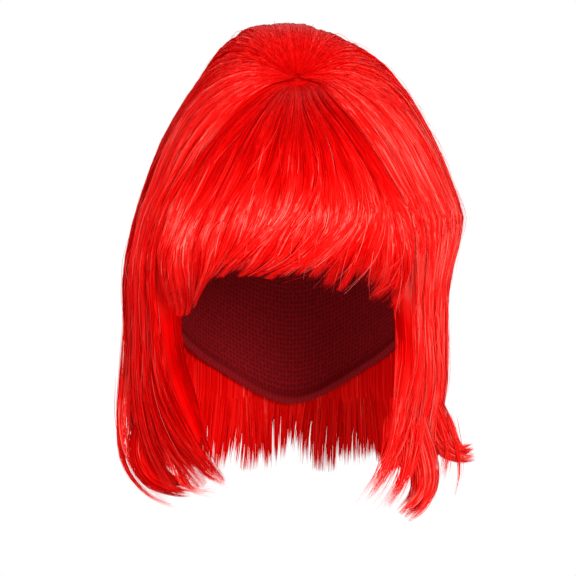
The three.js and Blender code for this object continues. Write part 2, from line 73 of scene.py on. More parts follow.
# level down the hair, then the share of the reach to each side
sections = [
    (0.0, 0.0, 0.0, 0.0, 0.0),
    (0.009, 0.25, 0.12, 0.116, 0.126),
    (0.027, 0.345, 0.275, 0.223, 0.288),
    (0.057, 0.44, 0.43, 0.314, 0.468),
    (0.099, 0.53, 0.572, 0.413, 0.649),
    (0.14, 0.602, 0.672, 0.529, 0.775),
    (0.2, 0.701, 0.767, 0.719, 0.892),
    (0.26, 0.79, 0.854, 0.835, 0.955),
    (0.324, 0.856, 0.927, 0.917, 0.991),
    (0.403, 0.932, 1.0, 1.0, 1.0),
    (0.444, 0.959, 0.984, 1.0, 0.991),
    (0.486, 0.984, 0.954, 0.967, 0.964),
    (0.538, 1.0, 0.92, 0.876, 0.937),
    (0.591, 0.997, 0.913, 0.777, 0.91),
    (0.651, 0.99, 0.913, 0.727, 0.865),
    (0.73, 0.993, 0.913, 0.694, 0.811),
    (0.812, 0.973, 0.883, 0.661, 0.775),
    (0.876, 0.932, 0.882, 0.645, 0.775),
    (0.932, 0.878, 0.839, 0.62, 0.811),
    (1.0, 0.791, 0.785, 0.595, 0.856),
]

# turn at the whorl, then the plan angle and level of each station down a falling strand
falls = [
    (-160, (-150, 0.027), (-152, 0.403), (-150, 0.688), (-150, 0.945)),
    (-135, (-108, 0.057), (-122, 0.403), (-120, 0.688), (-121, 0.947)),
    (-115, (-75, 0.103), (-95, 0.403), (-98, 0.688), (-102, 0.95)),
    (-95, (-57, 0.148), (-73, 0.403), (-81, 0.688), (-85, 0.951)),
    (-80, (-44, 0.178), (-56, 0.403), (-70, 0.688), (-66, 0.955)),
    (-65, (-32, 0.2), (-48, 0.403), (-60, 0.688), (-44, 0.95)),
    (-48, (-19.3, 0.181), (-41, 0.403), (-51, 0.688), (-26, 0.936)),
    (48, (18, 0.181), (33.5, 0.403), (50, 0.688), (42, 0.9)),
    (65, (33, 0.2), (44, 0.403), (61, 0.688), (58, 0.94)),
    (80, (45, 0.185), (58, 0.403), (69, 0.688), (74, 0.936)),
    (95, (58, 0.155), (76, 0.403), (80, 0.688), (86, 0.929)),
    (115, (75, 0.103), (96, 0.403), (98, 0.688), (102, 0.94)),
    (135, (108, 0.057), (122, 0.403), (120, 0.688), (121, 0.943)),
    (160, (150, 0.027), (152, 0.403), (150, 0.688), (150, 0.945)),
    (180, (180, 0.027), (180, 0.403), (180, 0.688), (180, 0.945)),
]

# turn at the whorl, then the share of the left reach at each sweep level, and the tip's share and level
sweepLevels = [0.181, 0.26, 0.343, 0.418, 0.486]
sweeps = [
    (-42, -0.22, -0.45, -0.59, -0.67, -0.72, (-0.73, 0.585)),
    (-30, -0.15, -0.3, -0.42, -0.51, -0.58, (-0.61, 0.605)),
    (-12, -0.01, -0.06, -0.11, -0.21, -0.34, (-0.47, 0.536)),
    (6, 0.07, 0.15, 0.19, 0.14, 0.0, (-0.18, 0.53)),
    (22, 0.14, 0.28, 0.38, 0.4, 0.3, (0.14, 0.55)),
    (36, 0.2, 0.36, 0.49, 0.56, 0.54, (0.43, 0.568)),
    (43, 0.235, 0.4, 0.545, 0.635, 0.67, (0.6, 0.605)),
]

flow = {
    "whorlReach": 13,  # strands leave the whorl straight for this far
    "fringeEnd": 0.5554,  # share of a falling strand at which the fringe ends
    "lockDepth": 3.2,
    "lockGrow": (0.04, 0.3),  # shares of a strand over which the locks rise
    "tipWall": 4,
    "tipFrom": 0.8,
    "toneTurn": 40,  # degrees of turn to one unit of the flow map
}


def cubicThrough(at, values):
    at = np.asarray(at, float)
    values = np.asarray(values, float)

    def evaluate(t):
        t = np.clip(t, at[0], at[-1])
        i = np.clip(np.searchsorted(at, t, side="right"), 1, len(at) - 1)
        t0, t1 = at[i - 1], at[i]
        before = np.where(i - 2 >= 0, i - 2, i)
        after = np.where(i + 1 < len(at), i + 1, i - 1)
        half = (t1 - t0) / 2
        wP = half / (t0 - at[before])
        wN = half / (at[after] - t1)
        p = (t - t0) / (t1 - t0)
        sP = -wP * p**3 + 2 * wP * p**2 - wP * p
        s0 = (1 + wP) * p**3 + (-1.5 - 2 * wP) * p**2 + (-0.5 + wP) * p + 1
        s1 = (-1 - wN) * p**3 + (1.5 + wN) * p**2 + 0.5 * p
        sN = wN * p**3 - wN * p**2
        parts = ((sP, before), (s0, i - 1), (s1, i), (sN, after))
        return sum(w[..., None] * values[k] for w, k in parts)

    return evaluate


def smooth(x, low, high):
    t = np.clip((x - low) / (high - low), 0, 1)
    return t * t * (3 - 2 * t)


def taper(along, thin, start):
    # width of a hair that thins toward its tip
    return 1 - thin * smooth(along, start, 1.0)


def fromRoot(along, least, long):
    # and of one that starts thin
    return least + (1 - least) * smooth(along, 0, long)


def unit(v):
    return v / np.maximum(np.linalg.norm(v, axis=-1, keepdims=True), 1e-9)


height = shape["top"] - shape["bottom"]
heart = np.array([0, shape["spineBack"], -hollow["depth"] / 2])
planShares = cubicThrough([math.sqrt(r[0]) for r in sections], [r[1:] for r in sections])


def sideShares(z):
    level = np.sqrt(np.clip((shape["top"] - z) / height, 0, 1.1))
    return np.moveaxis(planShares(level), -1, 0)


def planRadius(angle, z):
    right, left, front, back = sideShares(z)
    sideways = np.where(np.sin(angle) > 0, left * shape["left"], right * shape["right"])
    lengthways = np.where(np.cos(angle) > 0, front * shape["front"], back * shape["back"])
    n = shape["roundness"]
    across = (np.abs(np.sin(angle)) / np.maximum(sideways, 0.01)) ** n
    along = (np.abs(np.cos(angle)) / np.maximum(lengthways, 0.01)) ** n
    return (across + along) ** (-1 / n)


def onShape(degrees, level):
    z = shape["top"] - level * height
    angle = math.radians(degrees)
    r = float(planRadius(np.array(angle), np.array(z)))
    return np.array([r * math.sin(angle), shape["spineBack"] - r * math.cos(angle), z])


def onFace(x, z):
    right, left, front, _ = sideShares(np.array(z))
    sideways = left * shape["left"] if x > 0 else right * shape["right"]
    n = shape["roundness"]
    filled = min(abs(x / sideways), 0.999) ** n
    return np.array([x, shape["spineBack"] - front * shape["front"] * (1 - filled) ** (1 / n), z])


reachGrid = {"step": 1.0, "halvings": 32}  # degrees between directions, and how often each reach is halved


def solveReach(ways):
    near, far = np.zeros(ways.shape[:-1]), np.full(ways.shape[:-1], 2.0 * height)
    for _ in range(reachGrid["halvings"]):
        middle = (near + far) / 2
        p = ways * middle[..., None] + heart
        y = p[..., 1] - shape["spineBack"]
        out = np.hypot(p[..., 0], y)
        inside = (p[..., 2] < shape["top"]) & (out < planRadius(np.arctan2(p[..., 0], -y), p[..., 2]))
        near, far = np.where(inside, middle, near), np.where(inside, far, middle)
    return near


# reach of the hair from the heart, kept on a grid of directions
gridStep = reachGrid["step"]
gridAz = np.radians(np.arange(-180, 180 + gridStep, gridStep))
gridPolar = np.radians(np.arange(0, 180 + gridStep, gridStep))
polarMesh, azMesh = np.meshgrid(gridPolar, gridAz, indexing="ij")
gridWays = np.stack([
    np.sin(polarMesh) * np.sin(azMesh),
    -np.sin(polarMesh) * np.cos(azMesh),
    np.cos(polarMesh),
], -1)
gridReach = solveReach(gridWays)


def shapeReach(ways):
    polar = np.degrees(np.arccos(np.clip(ways[..., 2], -1, 1))) / gridStep
    az = (np.degrees(np.arctan2(ways[..., 0], -ways[..., 1])) + 180) / gridStep
    i = np.clip(polar.astype(int), 0, gridReach.shape[0] - 2)
    j = np.clip(az.astype(int), 0, gridReach.shape[1] - 2)
    u, v = polar - i, az - j
    top = gridReach[i, j] * (1 - v) + gridReach[i, j + 1] * v
    low = gridReach[i + 1, j] * (1 - v) + gridReach[i + 1, j + 1] * v
    return top * (1 - u) + low * u


whorlWay = unit(onFace(shape["whorlX"], shape["whorlZ"]) - heart)
whorlOut = float(solveReach(whorlWay))


def hairReach(ways):
    off = np.arccos(np.clip(ways @ whorlWay, -1, 1)) * whorlOut
    return shapeReach(ways) - shape["pitDepth"] * np.exp(-((off / shape["pitWidth"]) ** 2))


def hollowReach(ways, margin):
    size = np.array([hollow["breadth"] / 2, hollow["length"] / 2, hollow["depth"]]) + margin
    start = (heart + np.array([0, 0, hollow["depth"]])) / size
    step = ways / size
    a = (step**2).sum(-1)
    b = step @ start
    c = start @ start - 1
    return (np.sqrt(b * b - a * c) - b) / a


rimShares = cubicThrough([row[0] for row in rimLine], [[row[1]] for row in rimLine])


def rimDrop(angle):
    fromFront = np.abs(np.degrees(np.arctan2(np.sin(angle), np.cos(angle))))
    return rimShares(fromFront)[..., 0] * hollow["napeDrop"]


def capReach(ways, margin):
    # outside of the cap as the hair meets it, fading to nothing below the rim
    reach = hollowReach(ways, hollow["capWall"] + margin)
    p = heart + ways * reach[..., None]
    below = -p[..., 2] - rimDrop(np.arctan2(p[..., 0], -p[..., 1])) - hollow["rimClear"]
    return reach * (1 - smooth(below, 0, hollow["rimFade"]))


whorl = heart + whorlWay * float(hairReach(whorlWay))
down = unit(np.array([0, 0, -1.0]) + whorlWay * whorlWay[2])
leftwards = np.cross(whorlWay, down)


def leaving(turn):
    t = math.radians(turn)
    return whorl + flow["whorlReach"] * (down * math.cos(t) + leftwards * math.sin(t))


def curveThrough(points, spanSteps):
    # centripetal curve through the points, the same number of steps to each span
    p = [2 * points[0] - points[1], *points, 2 * points[-1] - points[-2]]
    fine = []
    for k in range(1, len(p) - 2):
        x0, x1, x2, x3 = p[k - 1], p[k], p[k + 1], p[k + 2]
        d0, d1, d2 = (max(math.sqrt(np.linalg.norm(b - a)), 1e-4) for a, b in ((x0, x1), (x1, x2), (x2, x3)))
        t1 = ((x1 - x0) / d0 - (x2 - x0) / (d0 + d1) + (x2 - x1) / d1) * d1
        t2 = ((x2 - x1) / d1 - (x3 - x1) / (d1 + d2) + (x3 - x2) / d2) * d1
        w = np.arange(spanSteps)[:, None] / spanSteps
        c2 = -3 * x1 + 3 * x2 - 2 * t1 - t2
        c3 = 2 * x1 - 2 * x2 + t1 + t2
        fine.append(x1 + t1 * w + c2 * w**2 + c3 * w**3)
    return np.concatenate([*fine, points[-1][None]])


weaveGrid = {"steps": 121, "perDegree": 2, "spanSteps": 40}


def guide(points):
    # evenly spaced points down one strand
    fine = curveThrough(points, weaveGrid["spanSteps"])
    run = np.concatenate([[0], np.cumsum(np.linalg.norm(np.diff(fine, axis=0), axis=1))])
    at = np.linspace(0, run[-1], weaveGrid["steps"])
    return np.stack([np.interp(at, run, fine[:, k]) for k in range(3)], -1)


def weave(turns, guides):
    # grid of directions by turn and share of a strand's length
    ways = unit(np.array(guides) - heart)
    table = cubicThrough(turns, ways.reshape(len(turns), -1))
    first, last = turns[0], turns[-1]
    steps, perDegree = weaveGrid["steps"], weaveGrid["perDegree"]
    fine = np.linspace(first, last, int((last - first) * perDegree) + 1)
    grid = unit(table(fine).reshape(len(fine), steps, 3))

    def sample(turn, share):
        a = np.clip((turn - first) * perDegree, 0, len(fine) - 1.001)
        b = np.clip(share * (steps - 1), 0, steps - 1.001)
        i, j = a.astype(int), b.astype(int)
        u, v = (a - i)[..., None], (b - j)[..., None]
        top = grid[i, j] * (1 - v) + grid[i, j + 1] * v
        low = grid[i + 1, j] * (1 - v) + grid[i + 1, j + 1] * v
        return unit(top * (1 - u) + low * u)

    return sample


fallTurns = [row[0] for row in falls]
fallGuides = [guide([whorl, leaving(row[0]), *(onShape(*s) for s in row[1:])]) for row in falls]
wrapTurns = [t - 360 for t in fallTurns[-3:]] + fallTurns + [t + 360 for t in fallTurns[:3]]
fallWay = weave(wrapTurns, fallGuides[-3:] + fallGuides + fallGuides[:3])


def edgeGuide(turn):
    # a strand at the fringe's edge, any distance out, since only its directions count
    shares = np.linspace(0, flow["fringeEnd"], weaveGrid["steps"])
    return heart + 100 * fallWay(np.full(len(shares), float(turn)), shares)


def sweepGuide(row):
    places = [*zip(row[1:6], sweepLevels), row[6]]
    stations = [onFace(share * shape["left"], shape["top"] - level * height) for share, level in places]
    return guide([whorl, leaving(row[0]), *stations])


fringeTurn = 48  # the fringe lies between this turn and the same one on the other side
fringeWay = weave(
    [-fringeTurn, *(row[0] for row in sweeps), fringeTurn],
    [edgeGuide(-fringeTurn), *map(sweepGuide, sweeps), edgeGuide(fringeTurn)],
)
print("shape and flow ready")


def makePiece(name, form, material):
    # form is points in mm, quads and the flow map
    verts, quads, uv = form
    mesh = bpy.data.meshes.new(name)
    quads = np.asarray(quads, np.int32).reshape(-1, 4)
    mesh.vertices.add(len(verts))
    mesh.vertices.foreach_set("co", (np.asarray(verts) * mm).astype(np.float32).ravel())
    mesh.loops.add(quads.size)
    mesh.loops.foreach_set("vertex_index", quads.ravel())
    mesh.polygons.add(len(quads))
    mesh.polygons.foreach_set("loop_start", np.arange(0, quads.size, 4, dtype=np.int32))
    mesh.polygons.foreach_set("loop_total", np.full(len(quads), 4, np.int32))
    mesh.update(calc_edges=True)
    for layerName in ("OFBake", "hairFlow"):
        layer = mesh.uv_layers.new(name=layerName)
        layer.data.foreach_set("uv", np.asarray(uv, np.float32)[quads.ravel()].ravel())
    mesh.polygons.foreach_set("use_smooth", np.ones(len(quads), bool))
    mesh.materials.append(material)
    mesh.validate()
    piece = bpy.data.objects.new(name, mesh)
    bpy.context.scene.collection.objects.link(piece)
    return piece


def hairPiece(name, form, material, *nodes):
    piece = makePiece(name, form, material)
    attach(piece, "root")
    if nodes:
        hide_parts(*nodes)


def gridQuads(columns, rows, start=0):
    c, r = np.meshgrid(np.arange(columns - 1), np.arange(rows - 1), indexing="ij")
    a = start + c * rows + r
    return np.stack([a, a + 1, a + rows + 1, a + rows], -1).reshape(-1, 4)


def slab(outer, inner, uv):
    # closed slab between two grids of points, (column, row, 3) each
    columns, rows, _ = outer.shape
    n = columns * rows
    c = np.arange(columns - 1) * rows
    r = np.arange(rows - 1)
    end = (columns - 1) * rows
    quads = np.concatenate([
        gridQuads(columns, rows),
        gridQuads(columns, rows, n)[:, ::-1],
        np.stack([c + rows - 1, n + c + rows - 1, n + c + 2 * rows - 1, c + 2 * rows - 1], -1),
        np.stack([c, c + rows, n + c + rows, n + c], -1),
        np.stack([r, n + r, n + r + 1, r + 1], -1),
        np.stack([end + r, end + r + 1, n + end + r + 1, n + end + r], -1),
    ])
    verts = np.concatenate([outer.reshape(-1, 3), inner.reshape(-1, 3)])
    uv = uv.reshape(-1, 2)
    return verts, quads, np.concatenate([uv, uv])


def tube(rings, uv):
    # closed body through rings of points, (ring, side, 3), pinched shut at both ends
    count, sides, _ = rings.shape
    ring, side = np.meshgrid(np.arange(count - 1), np.arange(sides), indexing="ij")
    a, b = ring * sides + side, ring * sides + (side + 1) % sides
    quads = np.stack([a, b, b + sides, a + sides], -1).reshape(-1, 4)
    return rings.reshape(-1, 3), quads, uv.reshape(-1, 2)


def joinParts(parts):
    verts, quads, uvs, start = [], [], [], 0
    for v, q, uv in parts:
        verts.append(v)
        quads.append(q + start)
        uvs.append(uv)
        start += len(v)
    return np.concatenate(verts), np.concatenate(quads), np.concatenate(uvs)


def ribbons(points, normals, width, tone, along, roll):
    # one flat ribbon to a strand: points and normals (strand, step, 3), width, along and roll (strand, step)
    count, steps, _ = points.shape
    tangent = unit(np.gradient(points, axis=1))
    side = unit(np.cross(tangent, normals))
    face = np.cross(side, tangent)
    across = side * np.cos(roll)[..., None] + face * np.sin(roll)[..., None]
    edge = across * (width / 2)[..., None]
    verts = np.stack([points - edge, points + edge], 2).reshape(-1, 3)
    base = (np.arange(count)[:, None] * steps + np.arange(steps - 1)[None]) * 2
    quads = np.stack([base, base + 1, base + 3, base + 2], -1).reshape(-1, 4)
    spread = 0.0005  # both edges of a ribbon read nearly the same tone
    u = np.stack([tone - spread, tone + spread], -1)[:, None, :].repeat(steps, 1)
    v = along[..., None].repeat(2, 2)
    return verts, quads, np.stack([u, v], -1).reshape(-1, 2)


def nodesOf(material):
    material.use_nodes = True
    tree = material.node_tree
    tree.nodes.clear()
    return tree


def addNode(tree, kind, **values):
    node = tree.nodes.new("ShaderNode" + kind)
    for name, value in values.items():
        setattr(node, name, value)
    return node


def ramp(tree, stops):
    node = addNode(tree, "ValToRGB")
    while len(node.color_ramp.elements) > 1:
        node.color_ramp.elements.remove(node.color_ramp.elements[-1])
    for k, (at, colour) in enumerate(stops):
        e = node.color_ramp.elements[0] if k == 0 else node.color_ramp.elements.new(at)
        e.position = at
        e.color = (*colour, 1)
    return node


hairLook = {
    # colours along the scale of brightness, which mixes random strand tone with painted light and shade; the
    # palest is a painted highlight that strands reach where the streak noise runs high
    "deep": (0.47, 0.0, 0.0),
    "middle": (0.76, 0.0006, 0.0006),
    "bright": (0.95, 0.012, 0.009),
    "paintedHighlight": (1.0, 0.2, 0.165),
    "roughness": 0.38,
    "specular": 0.06,
    "sheenTint": (1.0, 0.26, 0.22),
    "fineStreaks": 80,  # how many tones across one unit of the flow map, which is 40 degrees of turn
    "fineLong": 5,  # and how many along it
    "fineContrast": 0.74,
    "lockStreaks": 16,
    "lockTone": (6.5, 0.3),
    "tones": (0.0, 0.36, 0.64, 1.0),  # where deep, middle, bright and the painted highlight lie on the scale of brightness
    "noiseDetail": 2,
    "noiseRoughness": 0.55,
    # how much darker the base under the strands is painted: painted shade in the gaps between strands
    "basePaintedShade": 0.04,
}


def hairMaterial(name, paintedLightAlong, paintedShade=0.0, lockTone=hairLook["lockTone"]):
    # the stops hold (share of the strand, brightness), painted light and shade along the strand, less a
    # painted shade for the base under the strands; lockTone holds how many along a strand and how strong
    material = bpy.data.materials.new(name)
    tree = nodesOf(material)
    link = tree.links.new
    flowUv = addNode(tree, "UVMap", uv_map="hairFlow")
    split = addNode(tree, "SeparateXYZ")
    link(flowUv.outputs["UV"], split.inputs[0])
    # painted light and shade along the strand, lowered by the painted shade of the base
    paintedLightRamp = ramp(tree, [(at, (t - paintedShade,) * 3) for at, t in paintedLightAlong])
    link(split.outputs["Y"], paintedLightRamp.inputs["Fac"])
    total = paintedLightRamp.outputs["Color"]
    for streaks, long, contrast in (
        (hairLook["fineStreaks"], hairLook["fineLong"], hairLook["fineContrast"]),
        (hairLook["lockStreaks"], *lockTone),
    ):
        stretch = addNode(tree, "Mapping")
        stretch.inputs["Scale"].default_value = (streaks, long, 1)
        link(flowUv.outputs["UV"], stretch.inputs["Vector"])
        noise = addNode(tree, "TexNoise")
        noise.inputs["Scale"].default_value = 1
        noise.inputs["Detail"].default_value = hairLook["noiseDetail"]
        noise.inputs["Roughness"].default_value = hairLook["noiseRoughness"]
        link(stretch.outputs[0], noise.inputs["Vector"])
        spread = addNode(tree, "Math", operation="MULTIPLY_ADD")
        spread.inputs[1].default_value = 2 * contrast
        spread.inputs[2].default_value = -contrast
        link(noise.outputs["Fac"], spread.inputs[0])
        add = addNode(tree, "Math", operation="ADD", use_clamp=True)
        link(total, add.inputs[0])
        link(spread.outputs[0], add.inputs[1])
        total = add.outputs[0]
    shades = (hairLook[name] for name in ("deep", "middle", "bright", "paintedHighlight"))
    colours = ramp(tree, zip(hairLook["tones"], shades))
    link(total, colours.inputs["Fac"])
    shader = addNode(tree, "BsdfPrincipled")
    link(colours.outputs["Color"], shader.inputs["Base Color"])
    shader.inputs["Roughness"].default_value = hairLook["roughness"]
    shader.inputs["Specular IOR Level"].default_value = hairLook["specular"]
    shader.inputs["Specular Tint"].default_value = (*hairLook["sheenTint"], 1)
    out = addNode(tree, "OutputMaterial")
    link(shader.outputs[0], out.inputs["Surface"])
    return material


def lockShape(locks, share):
    # height and length of the locks across a body
    edges = np.concatenate([[0], np.cumsum([lock[0] for lock in locks])])
    edges[-1] = 1.0001
    k = np.clip(np.searchsorted(edges, share, side="right") - 1, 0, len(locks) - 1)
    widths, full, long = (np.array([lock[m] for lock in locks]) for m in range(3))
    back = np.sin(np.pi * np.clip((share - edges[k]) / widths[k], 0, 1))
    return flow["lockDepth"] * full[k] * np.sqrt(np.maximum(back, 0)), long[k] * (0.5 + 0.5 * back)


def place(body, turn, at, lift):
    # point and outward way of a spot on a body, at a share of the strand's length
    ways = body["way"](turn, at)
    low, high = body["turns"]
    share = np.clip((turn - low) / (high - low), 0, 1)
    locks, _ = lockShape(body["locks"], share)
    inset, *insetUntil = body["inset"]
    inset = inset * (1 - smooth(at, *insetUntil))
    reach = hairReach(ways) + (locks - flow["lockDepth"]) * smooth(at, *flow["lockGrow"]) - inset + lift
    if "tuck" in body:
        last = body["shares"][1]
        reach = reach - body["tuck"] * smooth(at, last - body["tuckLong"], last + body["tuckPast"])
    return heart + ways * reach[..., None], ways


def depthAt(body, at):
    # how thick the hair is: down to the cap at first, then the body's own wall, then thin at the tips
    wall = height + (body["wall"] - height) * smooth(at, *body["leaves"])
    return wall + (flow["tipWall"] - wall) * smooth(at, flow["tipFrom"], 1)


# how the base sinks and thins under loose tips, and its room to the cap, in mm
shellLook = {"fadeFrom": 2.2, "fadeSink": 0.6, "fadeThin": 0.6, "fromCap": 0.3, "thinnest": 0.4}


def shellOf(body):
    # closed base under the strands, from the whorl to just short of the tips
    look = shellLook
    columns, rows = body["shell"]
    low, high = body["turns"]
    turn = np.linspace(low + body["shy"], high - body["shy"], columns)[:, None].repeat(rows, 1)
    _, long = lockShape(body["locks"], (turn - low) / (high - low))
    first, last = body["shares"]
    end = last - body["tipShy"] - body["ragged"] * (1 - long)
    at = first + (end - first) * np.linspace(0, 1, rows)[None]
    fade = 0 * at
    if body["ragged"]:
        fade = smooth(at, last - look["fadeFrom"] * body["tipShy"], last - body["tipShy"])
    outer, ways = place(body, turn, at, -body["sink"] - look["fadeSink"] * fade)
    reach = np.linalg.norm(outer - heart, axis=-1)
    depth = depthAt(body, at) * (1 - look["fadeThin"] * fade)
    innerReach = np.maximum(capReach(ways, look["fromCap"]), reach - depth)
    inner = heart + ways * np.minimum(innerReach, reach - look["thinnest"])[..., None]
    return slab(outer, inner, np.stack([turn / flow["toneTurn"], at], -1))


clumpLook = {"gaps": (0.4, 1.8), "spare": 1.6}  # how uneven clumps are, and enough of them to fill a body


def clumpsOf(turn, width, rng):
    # uneven clumps side by side: the middle of each strand's clump, and its number
    low, high = turn.min(), turn.max()
    gaps = width * rng.uniform(*clumpLook["gaps"], int((high - low) / width * clumpLook["spare"]) + 6)
    middles = low + np.cumsum(gaps) - gaps[0] / 2
    which = np.searchsorted((middles[1:] + middles[:-1]) / 2, turn)
    return middles[which], which


# what the strands of all bodies have in common; pairs with From or Gather are shares of a strand's length
strandLook = {
    "roots": 0.02,  # shares of the length within which rooted strands start, and the others
    "others": 0.4,
    "tipSpread": 0.7,
    "shortTo": (0.72, 0.97),
    "waves": (3, 9),  # slow and quick waves of single strands
    "fineClumping": 0.45,
    "fineGather": (0.1, 0.35),
    "loose": 0.22,  # share of strands that hardly join a tuft, and how much they do
    "looseJoin": 0.15,
    "join": (0.6, 1),
    "wanderFrom": (0.02, 0.3),
    "sharedLong": 15,  # the wave that neighbours share: along the strand, across the turns and its bend
    "sharedAcross": 0.21,
    "sharedBend": (1.1, 0.13),
    "overEdge": 1.2,  # degrees that strands may reach over a neighbour
    "liftFrom": (0.0, 0.22),
    "clear": 0.05,
    "curlLong": 0.14,
    "inside": (0.2, 0.3),  # clear of the cap, and of the base's inner side
    "widths": (0.6, 1.35),
    "tipThin": 0.92,
    "rootWidth": (0.4, 0.2),
    "toneSpread": 0.004,
    "oddSpread": 2,
    "twist": (0.25, 5),
}


def strandsOf(body):
    # ribbons that follow the flow, in fine clumps on the way down and in tufts at the tips
    look = strandLook
    rng = np.random.default_rng(body["seed"])
    count, steps = body["strands"], body["steps"]
    low, high = body["turns"]
    first, last = body["shares"]
    turn0 = low + (high - low) * (np.arange(count) + rng.random(count)) / count
    fineMiddle, fineOf = clumpsOf(turn0, body["fine"], rng)
    tuftMiddle, tuftOf = clumpsOf(turn0, body["tuft"], rng)
    fineLift = rng.normal(0, 1, fineOf.max() + 1)[fineOf]
    tuftLong = rng.normal(0, body["tipSpread"], tuftOf.max() + 1)[tuftOf]
    # where each strand starts and ends
    rooted = rng.random(count) < body["rooted"]
    late = np.where(rooted, look["roots"] * rng.random(count), look["others"] * rng.random(count))
    start = first + (last - first) * late
    _, long = lockShape(body["locks"], np.clip((turn0 - low) / (high - low), 0, 1))
    ownLong = rng.normal(0, body["tipSpread"] * look["tipSpread"], count)
    end = last - body["ragged"] * (1 - long) + tuftLong + ownLong
    short = rng.random(count) < body["short"]
    end = np.where(short, start + (end - start) * rng.uniform(*look["shortTo"], count), end)
    if body["strays"]:
        stray = rng.random(count) < body["strays"]
        end = np.where(stray, last + body["strayLong"] * rng.random(count), np.minimum(end, last))
    end = np.minimum(end, 0.9999)
    even = np.linspace(0, 1, steps)[None] + np.zeros((count, 1))
    along = 0.5 * even + 0.5 * smooth(even, 0, 1)  # closer steps at the root and the tip
    at = start[:, None] + (end - start)[:, None] * along
    # how it turns aside, into its clump and its tuft
    phase = rng.random((count, 1)) * 2 * np.pi
    waves = rng.uniform(*look["waves"], (count, 1))
    toMiddle = (fineMiddle - turn0)[:, None]
    turn = turn0[:, None] + toMiddle * look["fineClumping"] * smooth(at, *look["fineGather"])
    loose = rng.random(count) < look["loose"]
    pull = body["clumping"] * np.where(loose, look["looseJoin"], rng.uniform(*look["join"], count))
    turn = turn + (tuftMiddle[:, None] - turn) * smooth(at, *body["gather"]) * pull[:, None]
    wander = body["wander"] * rng.normal(0, 1, (count, 1)) * np.sin(at * waves + phase)
    turn = turn + wander * smooth(at, *look["wanderFrom"])
    # long waves that neighbours share, stronger toward the tips
    bend, bendAcross = look["sharedBend"]
    across = look["sharedAcross"] * turn0[:, None]
    shared = np.sin(at * look["sharedLong"] + across + bend * np.sin(bendAcross * turn0[:, None]))
    turn = turn + body["wave"] * shared * smooth(at, body["waveFrom"], 1)
    turn = np.clip(turn, low - look["overEdge"], high + look["overEdge"])
    # how high it lies
    deepest, highest = body["lift"]
    lift = rng.uniform(deepest, highest, count) + body["ridge"] * fineLift
    lift = lift[:, None] * smooth(at, *look["liftFrom"]) + look["clear"]
    lift = lift + body["frizz"] * rng.normal(0, 1, (count, 1)) * np.sin(at * 2 * waves + phase)
    lift = lift - body["curlIn"] * smooth(at, last - look["curlLong"], last)
    points, ways = place(body, turn, at, lift)
    # some strands line the inside of the wall
    inward = np.where(rng.random(count) < body["under"], 1.0, 0.0)
    inward = np.where(rng.random(count) < body["between"], rng.random(count), inward)[:, None]
    reach = np.linalg.norm(points - heart, axis=-1)
    fromCap, pastBase = look["inside"]
    inside = np.maximum(capReach(ways, fromCap), reach - lift - depthAt(body, at) - pastBase)
    points = heart + ways * (reach + (np.minimum(inside, reach) - reach) * inward)[..., None]
    # width, tone and twist
    width = body["width"] * rng.uniform(*look["widths"], (count, 1))
    width = width * taper(along, look["tipThin"], body["taper"]) * fromRoot(at, *look["rootWidth"])
    odd = rng.random(count) < body["odd"]
    ownTone = rng.normal(0, look["toneSpread"], count)
    oddTone = rng.uniform(-look["oddSpread"], look["oddSpread"], count)
    tone = turn0 / flow["toneTurn"] + ownTone + np.where(odd, oddTone, 0)
    twist, twists = look["twist"]
    roll = rng.normal(0, body["roll"], (count, 1)) + twist * np.sin(at * twists + phase)
    return ribbons(points, ways, width, tone, at, roll)


# width, fullness and length of each lock, as shares, in order of turn
fringeLocks = [
    (0.2, 0.7, 0.9), (0.15, 1.0, 0.5), (0.2, 0.6, 0.3), (0.17, 0.9, 0.45), (0.13, 0.7, 0.3), (0.15, 1.0, 0.5),
]
faceLocks = [(0.45, 0.8, 0.6), (0.55, 1.0, 1.0)]
sideLocks = [(0.3, 0.9, 1.0), (0.28, 0.6, 0.6), (0.42, 1.0, 0.9)]
crownLocks = [
    (0.14, 0.8, 0), (0.18, 0.55, 0), (0.16, 0.9, 0), (0.2, 0.6, 0), (0.15, 0.85, 0), (0.17, 0.6, 0),
]
napeLocks = [
    (0.17, 0.9, 0.7), (0.15, 0.7, 1.0), (0.2, 1.0, 0.6), (0.16, 0.8, 0.9), (0.17, 1.0, 0.7), (0.15, 0.7, 1.0),
]

curtain = {
    "way": fallWay,
    "shares": (0.004, 1.0),
    "wall": 16,
    "leaves": (0.35, 0.62),  # shares over which the hair leaves the cap and thins to its wall
    "inset": (0, 0, 1),  # how far under the shape, and the shares over which that ends
    "ragged": 0.053,  # shares of a strand's length by which locks and tips differ
    "tipShy": 0.07,
    "tipSpread": 0.012,
    "shy": 0.3,
    "sink": 1.3,
    "shell": (20, 56),
    "strands": 2100,
    "steps": 23,
    "width": 0.46,
    "fine": 0.9,  # clumps on the way down and tufts at the tips, in degrees of turn
    "tuft": 2.4,
    "clumping": 0.5,
    "gather": (0.62, 1.0),
    "wander": 0.35,
    "lift": (-0.9, 0.4),
    "ridge": 0.2,
    "frizz": 0.08,
    "roll": 0.35,
    "taper": 0.8,
    "odd": 0.16,  # share of single hairs of another tone than those beside them
    "lockTone": hairLook["lockTone"],
    "wave": 1.3,
    "waveFrom": 0.3,
    "curlIn": 2.5,
    "strays": 0,
    "rooted": 0.86,
    "short": 0.16,
    "under": 0.2,  # share of the strands on the inside of the wall, and within it
    "between": 0.08,
    "tone": [  # share of the strand, then brightness, which is painted light and shade: painted shade at the roots and low down the strand, on the darker copy used for the side away from the key light
        (0.0, 0.2), (0.035, 0.34), (0.1, 0.56), (0.3, 0.56),
        (0.5, 0.44), (0.7, 0.32), (0.85, 0.38), (1.0, 0.5),
    ],
}

